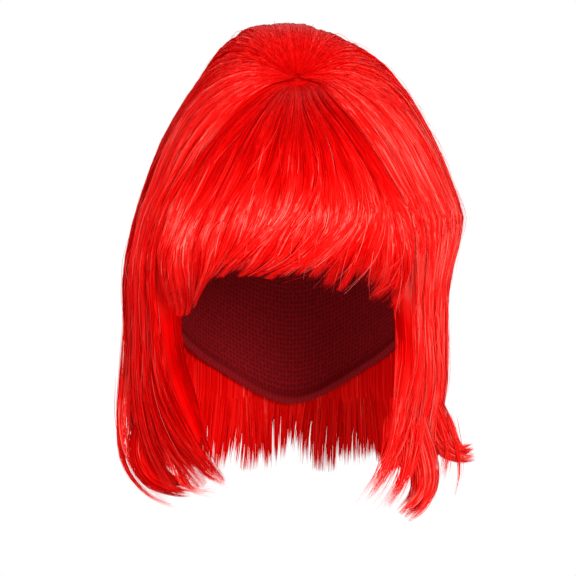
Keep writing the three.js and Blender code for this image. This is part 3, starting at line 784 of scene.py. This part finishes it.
fringe = {
    **curtain,
    "node": "fringe",
    "way": fringeWay,
    "turns": (-fringeTurn, fringeTurn),
    "shares": (0.008, 1.0),
    "locks": fringeLocks,
    "wall": 9,
    "leaves": (0.4, 0.75),
    "ragged": 0.045,
    "tipSpread": 0.02,
    "inset": (2, 0.5, 0.8),
    "shell": (70, 44),
    "strands": 5000,
    "steps": 18,
    "fine": 1.1,
    "tuft": 3.2,
    "clumping": 0.75,
    "gather": (0.6, 1.0),
    "wander": 0.5,
    "under": 0.05,
    "seed": 103,
    "wave": 1.7,
    "waveFrom": 0.15,
    # stronger random tone from lock to lock, which also stands in for painted shade between the fringe's
    # locks
    "lockTone": (3, 0.5),
    # painted shade below the whorl, where the fringe faces up, and a painted highlight band where it bulges
    # forward toward the light
    "tone": [
        (0.0, 0.26), (0.07, 0.34), (0.15, 0.22), (0.35, 0.16),
        (0.53, 0.34), (0.7, 0.64), (0.84, 0.48), (1.0, 0.44),
    ],
}

# the same brightness along the strand painted lighter: painted light for the side that faces the key light
paintedLitSide = [(0.0, 0.2), (0.035, 0.34), (0.1, 0.58), (0.3, 0.64), (0.5, 0.66), (0.7, 0.6), (1.0, 0.66)]
faceLockLeft = {
    **curtain,
    "node": "face_lock_left",
    "turns": (fringeTurn, 68),
    "locks": faceLocks,
    "seed": 105,
    "tone": paintedLitSide,
}
faceLockRight = {
    **curtain,
    "node": "face_lock_right",
    "turns": (-68, -fringeTurn),
    "locks": faceLocks[::-1],
    "seed": 107,
}
sideLeft = {
    **curtain,
    "node": "side_hair_left",
    "turns": (68, 115),
    "locks": sideLocks,
    "shell": (40, 56),
    "strands": 3000,
    "seed": 111,
    "tone": paintedLitSide,
}
sideRight = {
    **sideLeft,
    "node": "side_hair_right",
    "turns": (-115, -68),
    "locks": sideLocks[::-1],
    "seed": 113,
    # back to the darker copy: painted shade for the side away from the key light
    "tone": curtain["tone"],
}

crown = {
    **curtain,
    "node": "crown_hair",
    "turns": (115, 245),
    "shares": (0.006, 0.5959),
    "locks": crownLocks,
    "wall": 260,
    "leaves": (0.9, 1.0),
    "ragged": 0,
    "tipShy": 0.004,
    "tipSpread": 0.006,
    "shell": (100, 44),
    "strands": 4550,
    "steps": 16,
    "width": 0.6,
    "fine": 1.3,
    "tuft": 4,
    "gather": (0.3, 0.6),
    "clumping": 0.3,
    "rooted": 0.75,
    "under": 0,
    "between": 0,
    "wave": 0.5,
    "curlIn": 0,
    "tuck": 5,
    "tuckLong": 0.035,
    "tuckPast": 0.004,
    "strays": 0.14,  # share of the strands that run on over the tucked edge, and how far
    "strayLong": 0.16,
    "seed": 117,
    # darker at the roots: painted shade where the strands crowd at the whorl
    "tone": [(0.0, 0.18), (0.035, 0.32), (0.1, 0.5), (0.25, 0.54), (0.45, 0.54), (0.6, 0.46)],
}

nape = {
    **curtain,
    "node": "nape_hair",
    "turns": (115, 245),
    "shares": (0.575, 1.0),
    "locks": napeLocks,
    "wall": 13,
    "leaves": (0.66, 0.82),
    "inset": (4, 0.6, 0.8),
    "shell": (100, 24),
    "tipShy": 0.05,
    "strands": 3450,
    "steps": 12,
    "width": 0.8,
    "ragged": 0.02,
    "tuft": 2.2,
    "clumping": 0.2,
    "gather": (0.8, 1.0),
    "short": 0.22,
    "tipSpread": 0.006,
    "taper": 0.9,
    "under": 0.42,
    "between": 0.25,
    "seed": 119,
    "lockTone": (4, 0.2),
    # kept dark: painted shade on the inside of the nape
    "tone": [(0.57, 0.2), (0.66, 0.36), (0.8, 0.4), (1.0, 0.42)],
}

# gathered roots in the middle of the whorl, part of the crown
gather = {
    "long": 14,
    "across": 7.3,
    "sides": 28,
    "sink": 1.2,
    "rings": (1.0, 0.66, 0.33, 0.03),
    "point": 0.03,
    "fromCap": 1,
    # reads the crown's brightness at its roots, which is painted shade
    "tone": 0.02,
}


def gatherShell():
    angle = np.linspace(0, 2 * np.pi, gather["sides"], endpoint=False)
    long = np.where(np.cos(angle) > 0, gather["across"], gather["long"])
    aside = leftwards * (gather["across"] * np.sin(angle))[:, None] + down * (long * np.cos(angle))[:, None]
    foot = float(hollowReach(whorlWay, hollow["capWall"] + gather["fromCap"])) + hollow["rimRoll"]
    crownOf = float(hairReach(whorlWay)) - gather["sink"]
    middle = heart + whorlWay * foot
    rings = [middle + aside * gather["point"], middle + aside * foot / crownOf]
    for size in gather["rings"]:
        ways = unit(heart + whorlWay * crownOf + aside * size - heart)
        rings.append(heart + ways * (hairReach(ways) - gather["sink"])[:, None])
    rings = np.array(rings)
    turn = np.degrees(angle)[None].repeat(len(rings), 0) / flow["toneTurn"]
    return tube(rings, np.stack([turn, np.zeros_like(turn) + gather["tone"]], -1))


# loose tresses: each station's share of the left reach, back reach and drop, then its width and thickness
tresses = {
    "flick": {
        "node": "side_hair_left",
        "stations": [
            (0.79, -0.15, 0.68, 9, 7),
            (0.85, -0.2, 0.78, 16, 9),
            (0.91, -0.21, 0.832, 14, 8),
            (0.98, -0.21, 0.848, 9, 6),
            (1.055, -0.21, 0.844, 3, 3),
        ],
        "strands": 430,
        "seed": 31,
    },
    "hook": {
        "node": "face_lock_left",
        "stations": [
            (0.667, -0.356, 0.66, 6, 6),
            (0.715, -0.385, 0.8, 15, 9),
            (0.76, -0.4, 0.9, 15, 9),
            (0.725, -0.39, 0.96, 11, 7),
            (0.635, -0.37, 1.0, 3, 3),
        ],
        "strands": 430,
        "seed": 33,
    },
    "curl": {
        "node": "side_hair_right",
        "stations": [
            (-0.84, -0.2, 0.74, 9, 7),
            (-0.86, -0.23, 0.84, 17, 9),
            (-0.8, -0.25, 0.9, 15.3, 8),
            (-0.7, -0.25, 0.925, 10.2, 6),
            (-0.585, -0.24, 0.932, 4.3, 3),
        ],
        "strands": 430,
        "seed": 37,
    },
}
tressLook = {
    "spanSteps": 30,
    "core": 0.72,  # the core's size as a share of the tress, and where it ends
    "coreEnd": 0.82,
    "coreRings": 16,
    "coreSides": 10,
    "corePinch": (0.06, 0.25, 0.02),  # shares over which both ends close, and how far
    "coreTone": 8,
    "steps": 15,
    "width": 0.42,
    "widths": (0.6, 1.3),
    "tipThin": (0.9, 0.7),
    "rootWidth": (0.2, 0.1),
    "start": 0.12,
    "end": (0.93, 0.06),
    "out": (0.25, 1.1),  # squared, from the middle of the tress outward
    "tufts": 7,
    "tuftTurn": 2.4,
    "splay": 3.5,
    "splayForward": 0.4,
    "splayFrom": (0.6, 1.05),
    "wave": 0.35,
    "waves": (4, 10),
    "roll": 0.3,
}


def tressFrame(stations, shares):
    # centre, across, outward, width and thickness at shares of a tress
    points = [np.array([x * shape["left"], shape["spineBack"] + y * shape["back"], z * shape["bottom"]])
              for x, y, z, _, _ in stations]
    fine = curveThrough(points, tressLook["spanSteps"])
    grid = np.linspace(0, 1, len(fine))
    tangent = unit(np.gradient(fine, axis=0))
    forward = np.array([0, -1.0, 0])
    outward = unit(forward - tangent * (tangent @ forward)[:, None])
    across = np.cross(tangent, outward)
    sizes = cubicThrough(np.linspace(0, 1, len(stations)), [row[3:] for row in stations])(shares)

    def read(values):
        return np.stack([np.interp(shares, grid, values[:, k]) for k in range(3)], -1)

    return read(fine), read(across), read(outward), sizes[..., 0], sizes[..., 1]


def tressCore(tress):
    shares = np.linspace(0, tressLook["coreEnd"], tressLook["coreRings"])
    centre, across, outward, wide, thick = tressFrame(tress["stations"], shares)
    angle = np.linspace(0, 2 * np.pi, tressLook["coreSides"], endpoint=False)
    root, tip, left = tressLook["corePinch"]
    closing = smooth(shares, tressLook["coreEnd"] - tip, tressLook["coreEnd"])
    size = tressLook["core"] / 2 * (smooth(shares, 0, root) * (1 - closing) + left)
    rings = centre[:, None] + across[:, None] * (np.cos(angle)[None, :, None] * (wide * size)[:, None, None])
    rings = rings + outward[:, None] * (np.sin(angle)[None, :, None] * (thick * size)[:, None, None])
    u = angle[None] / tressLook["coreTone"] + 0 * shares[:, None]
    return tube(rings, np.stack([u, 0.5 + 0.5 * shares[:, None] + 0 * u], -1))


def tressStrands(tress):
    rng = np.random.default_rng(tress["seed"])
    look = tressLook
    count, steps = tress["strands"], look["steps"]
    start = rng.uniform(0, look["start"], (count, 1))
    end = np.minimum(rng.normal(*look["end"], (count, 1)), 1)
    along = np.linspace(0, 1, steps)[None] + np.zeros((count, 1))
    shares = start + (end - start) * along
    centre, across, outward, wide, thick = tressFrame(tress["stations"], shares)
    angle = rng.random((count, 1)) * 2 * np.pi
    out = np.sqrt(rng.uniform(*look["out"], (count, 1)))
    tuft = np.floor(angle / (2 * np.pi) * look["tufts"])
    splay = look["splay"] * np.sin(tuft * look["tuftTurn"]) * smooth(shares, *look["splayFrom"])
    aside = (wide / 2 * out * np.cos(angle) + splay)[..., None] * across
    forward = (thick / 2 * out * np.sin(angle) + splay * look["splayForward"])[..., None] * outward
    phase = rng.random((count, 1)) * 2 * np.pi
    wave = look["wave"] * np.sin(shares * rng.uniform(*look["waves"], (count, 1)) + phase)
    points = centre + aside + forward + wave[..., None] * across
    normals = unit(across * np.cos(angle)[..., None] + outward * np.sin(angle)[..., None])
    width = look["width"] * rng.uniform(*look["widths"], (count, 1)) * taper(along, *look["tipThin"])
    width = width * fromRoot(along, *look["rootWidth"])
    tone = rng.random(count)
    roll = rng.normal(0, look["roll"], (count, 1)) + 0 * shares
    return ribbons(points, normals, width, tone, 0.5 + 0.5 * shares, roll)


# separate wisps: paths in mm, how many hairs and how far they spread
wisps = {
    "outerRight": {
        "path": [(-89, 2, -104), (-92, 0, -140), (-93.5, -2, -165), (-92, -4, -183), (-86, -8, -195),
                 (-76, -12, -204), (-63, -16, -209)],
        "hairs": 70,
        "spread": 1.5,
    },
    "outerRightLow": {
        "path": [(-88, -8, -140), (-90, -10, -165), (-87, -12, -182), (-79, -14, -196), (-67, -18, -205)],
        "hairs": 60,
        "spread": 2.6,
    },
    "hemCurlRight": {
        "path": [(-66, -34, -165), (-62, -36, -184), (-55, -37, -197), (-42, -37, -200)],
        "hairs": 70,
        "spread": 3.0,
    },
    "hemCurlInner": {
        "path": [(-56, -44, -165), (-51, -45, -180), (-44, -45, -190), (-35, -44, -195)],
        "hairs": 70,
        "spread": 2.8,
    },
    "dropLeft": {
        "path": [(84, -14, -160), (88, -16, -176), (90, -16, -190), (88, -15, -203)],
        "hairs": 20,
        "spread": 1.3,
    },
    "innerLeft": {
        "path": [(59, -42, -160), (55, -44, -176), (48, -45, -190), (40, -45, -202)],
        "hairs": 150,
        "spread": 4.2,
    },
    "innerLeftMid": {
        "path": [(64, -42, -162), (62, -44, -180), (57, -45, -195), (49, -45, -207)],
        "hairs": 130,
        "spread": 3.6,
    },
    "innerLeftHigh": {
        "path": [(58, -44, -150), (56, -46, -166), (51, -47, -180), (46, -47, -188)],
        "hairs": 110,
        "spread": 3.4,
    },
    "underFlick": {
        "path": [(78, -12, -160), (82, -14, -174), (83, -15, -184), (81, -15, -194)],
        "hairs": 60,
        "spread": 2.6,
    },
}
wispLook = {
    "spanSteps": 12,
    "steps": 14,
    "shortest": 0.72,
    "flat": (1, 0.6, 0.4),  # spread across, front to back and up
    "tipSpread": 0.5,
    "width": 0.3,
    "widths": (0.6, 1.2),
    "tipThin": (0.85, 0.5),
    "rootWidth": (0.3, 0.15),
    "roll": 0.5,
    "flow": (0.6, 0.35),
    "tone": [(0.0, 0.6), (1.0, 0.55)],
    "seed": 41,
}


def wispStrands():
    look = wispLook
    rng = np.random.default_rng(look["seed"])
    parts = []
    for wisp in wisps.values():
        path = curveThrough([np.array(p, float) for p in wisp["path"]], look["spanSteps"])
        grid = np.linspace(0, 1, len(path))
        hairs = wisp["hairs"]
        along = np.linspace(0, 1, look["steps"])[None] + np.zeros((hairs, 1))
        shares = along * rng.uniform(look["shortest"], 1, (hairs, 1))
        points = np.stack([np.interp(shares, grid, path[:, k]) for k in range(3)], -1)
        start = rng.normal(0, wisp["spread"], (hairs, 1, 3)) * look["flat"]
        end = rng.normal(0, wisp["spread"] * look["tipSpread"], (hairs, 1, 3))
        points = points + start * (1 - shares[..., None]) + end * shares[..., None]
        normals = np.array([0, -1.0, 0]) + 0 * points
        width = look["width"] * rng.uniform(*look["widths"], (hairs, 1)) * taper(along, *look["tipThin"])
        width = width * fromRoot(along, *look["rootWidth"])
        roll = rng.normal(0, look["roll"], (hairs, 1)) + 0 * shares
        flowFrom, flowLong = look["flow"]
        parts.append(ribbons(points, normals, width, rng.random(hairs), flowFrom + flowLong * shares, roll))
    return joinParts(parts)


# single hairs that stand off a body: turns and shares where they start, their length, rise and sideways drift
flyaways = [
    {"body": crown, "turns": (115, 245), "from": (0.06, 0.4), "long": 0.16, "rise": (0.8, 2.6),
     "drift": 5, "hairs": 120},
    {"body": sideLeft, "turns": (80, 115), "from": (0.08, 0.34), "long": 0.1, "rise": (0.8, 3.6),
     "drift": 9, "hairs": 70},
    {"body": sideLeft, "turns": (68, 112), "from": (0.3, 0.75), "long": 0.16, "rise": (0.6, 3.0),
     "drift": 5, "hairs": 110},
    {"body": faceLockLeft, "turns": (48, 68), "from": (0.2, 0.7), "long": 0.22, "rise": (0.8, 3.0),
     "drift": 4, "hairs": 60},
    {"body": sideRight, "turns": (-112, -68), "from": (0.3, 0.78), "long": 0.16, "rise": (0.6, 3.2),
     "drift": 5, "hairs": 90},
    {"body": faceLockRight, "turns": (-68, -48), "from": (0.2, 0.7), "long": 0.22, "rise": (0.8, 2.6),
     "drift": 4, "hairs": 50},
    {"body": fringe, "turns": (-40, 44), "from": (0.3, 0.8), "long": 0.3, "rise": (0.8, 2.4),
     "drift": 6, "hairs": 90},
    {"body": nape, "turns": (118, 242), "from": (0.6, 0.85), "long": 0.12, "rise": (0.8, 3.0),
     "drift": 4, "hairs": 70},
]
flyawayLook = {
    "steps": 12,
    "most": 1.3,  # the widest drift
    "driftBend": 1.5,
    "lengths": (0.5, 1.3),
    "free": 0.5,  # share of the hairs whose tips stand free, while the others arc back
    "freeBend": 1.6,
    "sink": 0.6,
    "width": 0.24,
    "widths": (0.6, 1.1),
    "tipThin": (0.7, 0.5),
    "roll": 0.6,
    "tone": [(0.0, 0.6), (1.0, 0.72)],
    "seed": 43,
}


def flyawayStrands():
    look = flyawayLook
    rng = np.random.default_rng(look["seed"])
    parts = []
    for group in flyaways:
        hairs = group["hairs"]
        along = np.linspace(0, 1, look["steps"])[None] + np.zeros((hairs, 1))
        aside = group["drift"] * np.clip(rng.normal(0, 1, (hairs, 1)), -look["most"], look["most"])
        turn = rng.uniform(*group["turns"], (hairs, 1)) + aside * along ** look["driftBend"]
        start = rng.uniform(*group["from"], (hairs, 1))
        last = group["body"]["shares"][1]
        end = np.minimum(start + group["long"] * rng.uniform(*look["lengths"], (hairs, 1)), last)
        at = start + (end - start) * along
        free = rng.random((hairs, 1)) < look["free"]
        arc = np.where(free, along ** look["freeBend"], np.sin(np.pi * along))
        lift = -look["sink"] + (look["sink"] + rng.uniform(*group["rise"], (hairs, 1))) * arc
        points, ways = place(group["body"], turn, at, lift)
        width = look["width"] * rng.uniform(*look["widths"], (hairs, 1)) * taper(along, *look["tipThin"])
        roll = rng.normal(0, look["roll"], (hairs, 1)) + 0 * along
        parts.append(ribbons(points, ways, width, rng.random(hairs), at, roll))
    return joinParts(parts)


bodies = [fringe, faceLockLeft, faceLockRight, sideLeft, sideRight, crown, nape]
for body in bodies:
    name = body["node"]
    # the base shell takes the same brightness less the painted shade in the gaps between strands
    baseLook = hairMaterial(name + "_base", body["tone"], hairLook["basePaintedShade"], body["lockTone"])
    fibreLook = hairMaterial(name + "_fibre", body["tone"], 0, body["lockTone"])
    base, fibre = [shellOf(body)], [strandsOf(body)]
    if name == "crown_hair":
        base.append(gatherShell())
    for tress in tresses.values():
        if tress["node"] == name:
            base.append(tressCore(tress))
            fibre.append(tressStrands(tress))
    hairPiece(name + "_base", joinParts(base), baseLook, name)
    strands = joinParts(fibre)
    hairPiece(name + "_strands", strands, fibreLook)
    print("body", name, len(strands[1]) * 2, "triangles of strands")

hairPiece("wisps", wispStrands(), hairMaterial("loose_fibre", wispLook["tone"]))
hairPiece("flyaways", flyawayStrands(), hairMaterial("stray_fibre", flyawayLook["tone"]))
print("loose hairs ready")

# the stretch cap, finer than the solid it covers, with its stitched rim and the rows the hair hangs from
capLook = {
    "sides": 120,
    "rings": 44,
    "top": 0.005,  # how nearly the dome closes at its top
    "rimRings": 7,
    "rimFrom": 0.15,
    "rimTurn": 1.6,
    "rows": 9,  # stitched rows inside the dome
    "rowDepth": 0.55,
    "rowSharp": 6,
    "rowFrom": 4,
    "colour": (0.3, 0.004, 0.008),
    "dark": (0.12, 0.001, 0.003),
    "netEdges": (0.12, 0.5),
    "roughness": 0.85,
    "specular": 0.15,
    "mesh": (230, 172.5),  # holes of the net around the cap and down it
    "meshUneven": 0.25,
}


def capRing(share, margin, raised):
    angle = np.linspace(0, 2 * np.pi, capLook["sides"], endpoint=False)
    tall = hollow["depth"] + margin
    drop = rimDrop(angle) - raised
    polar = np.arccos(np.clip((hollow["depth"] - drop) / tall, -1, 1)) * share
    return np.stack([
        (hollow["breadth"] / 2 + margin) * np.sin(polar) * np.sin(angle),
        -(hollow["length"] / 2 + margin) * np.sin(polar) * np.cos(angle),
        tall * np.cos(polar) - hollow["depth"],
    ], -1)


def capMesh():
    wall, roll, high = hollow["capWall"], hollow["rimRoll"], hollow["rimHeight"]
    shares = np.linspace(capLook["top"], 1, capLook["rings"])
    rings = [capRing(s, wall, 0) for s in shares]
    # round stitched rim
    for part in np.linspace(capLook["rimFrom"], 1, capLook["rimRings"]):
        inward = (wall + roll * math.sin(part * math.pi)) * min(part * capLook["rimTurn"], 1)
        rings.append(capRing(1, wall - inward, high * max(part - capLook["rimFrom"], 0)))
    for s in shares[::-1][1:]:
        row = max(math.sin(s * capLook["rows"] * 2 * math.pi), 0) ** capLook["rowSharp"]
        rings.append(capRing(s, -capLook["rowDepth"] * row * min(s * capLook["rowFrom"], 1), high))
    rings = np.array(rings)
    u = np.linspace(0, 1, capLook["sides"], endpoint=False)[None] + np.zeros((len(rings), 1))
    v = np.linspace(0, 1, len(rings))[:, None] + 0 * u
    return tube(rings, np.stack([u, v], -1))


def capMaterial():
    material = bpy.data.materials.new("cap_net")
    tree = nodesOf(material)
    link = tree.links.new
    flowUv = addNode(tree, "UVMap", uv_map="hairFlow")
    stretch = addNode(tree, "Mapping")
    stretch.inputs["Scale"].default_value = (*capLook["mesh"], 1)
    link(flowUv.outputs["UV"], stretch.inputs["Vector"])
    holes = addNode(tree, "TexVoronoi", distance="CHEBYCHEV")
    holes.inputs["Scale"].default_value = 1
    holes.inputs["Randomness"].default_value = capLook["meshUneven"]
    link(stretch.outputs[0], holes.inputs["Vector"])
    mix = ramp(tree, zip(capLook["netEdges"], (capLook["dark"], capLook["colour"])))
    link(holes.outputs["Distance"], mix.inputs["Fac"])
    shader = addNode(tree, "BsdfPrincipled")
    link(mix.outputs["Color"], shader.inputs["Base Color"])
    shader.inputs["Roughness"].default_value = capLook["roughness"]
    shader.inputs["Specular IOR Level"].default_value = capLook["specular"]
    out = addNode(tree, "OutputMaterial")
    link(shader.outputs[0], out.inputs["Surface"])
    return material


cap = makePiece("cap_net", capMesh(), capMaterial())
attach(cap, "root")
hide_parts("cap")
print("cap ready")

# plain floor, soft light and the camera at the photo's angle, in metres
studio = {
    "floorZ": -0.31,
    "floorHalf": 0.5,
    "floorTone": 0.9,
    "floorRoughness": 0.9,
    "world": 1.0,
    "roomLight": 0.6,
    "lightsAt": (0, 0, -0.08),
    "key": {"place": (0.6, -1.2, 0.15), "size": 0.5, "power": 14},
    "fill": {"place": (-0.9, -0.9, 0.1), "size": 0.7, "power": 7},
    "lens": 172.3,
    "sensor": 36,
    "cameraBack": 1.5,
    "cameraX": -0.0022,
    "cameraZ": -0.0914,
}

f, z = studio["floorHalf"], studio["floorZ"]
floorMesh = bpy.data.meshes.new("floor")
floorMesh.from_pydata([(-f, -f, z), (f, -f, z), (f, f, z), (-f, f, z)], [], [(0, 1, 2, 3)])
floor = bpy.data.objects.new("floor", floorMesh)
bpy.context.scene.collection.objects.link(floor)
floorLook = bpy.data.materials.new("floor_paint")
floorTree = nodesOf(floorLook)
floorShader = addNode(floorTree, "BsdfPrincipled")
floorShader.inputs["Base Color"].default_value = (*[studio["floorTone"]] * 3, 1)
floorShader.inputs["Roughness"].default_value = studio["floorRoughness"]
floorOut = addNode(floorTree, "OutputMaterial")
floorTree.links.new(floorShader.outputs[0], floorOut.inputs["Surface"])
floorMesh.materials.append(floorLook)

world = bpy.data.worlds.new("studio")
bpy.context.scene.world = world
world.use_nodes = True
background = world.node_tree.nodes["Background"]
background.inputs["Color"].default_value = (1, 1, 1, 1)
# the camera sees plain white, and the room lights the hair more softly than that
paths = addNode(world.node_tree, "LightPath")
room = addNode(world.node_tree, "MapRange")
room.inputs["To Min"].default_value = studio["roomLight"]
room.inputs["To Max"].default_value = studio["world"]
world.node_tree.links.new(paths.outputs["Is Camera Ray"], room.inputs["Value"])
world.node_tree.links.new(room.outputs["Result"], background.inputs["Strength"])


def softLight(name):
    look = studio[name]
    data = bpy.data.lights.new(name, "AREA")
    data.size = look["size"]
    data.energy = look["power"]
    light = bpy.data.objects.new(name, data)
    light.location = look["place"]
    aim = Vector(studio["lightsAt"]) - Vector(look["place"])
    light.rotation_euler = aim.to_track_quat("-Z", "Y").to_euler()
    bpy.context.scene.collection.objects.link(light)


softLight("key")
softLight("fill")

cameraData = bpy.data.cameras.new("camera")
cameraData.lens = studio["lens"]
cameraData.sensor_width = studio["sensor"]
camera = bpy.data.objects.new("camera", cameraData)
camera.location = (studio["cameraX"], -studio["cameraBack"], studio["cameraZ"])
camera.rotation_euler = (math.radians(90), 0, 0)
bpy.context.scene.collection.objects.link(camera)
bpy.context.scene.camera = camera
bpy.context.scene.view_settings.view_transform = "Standard"
print("studio ready")
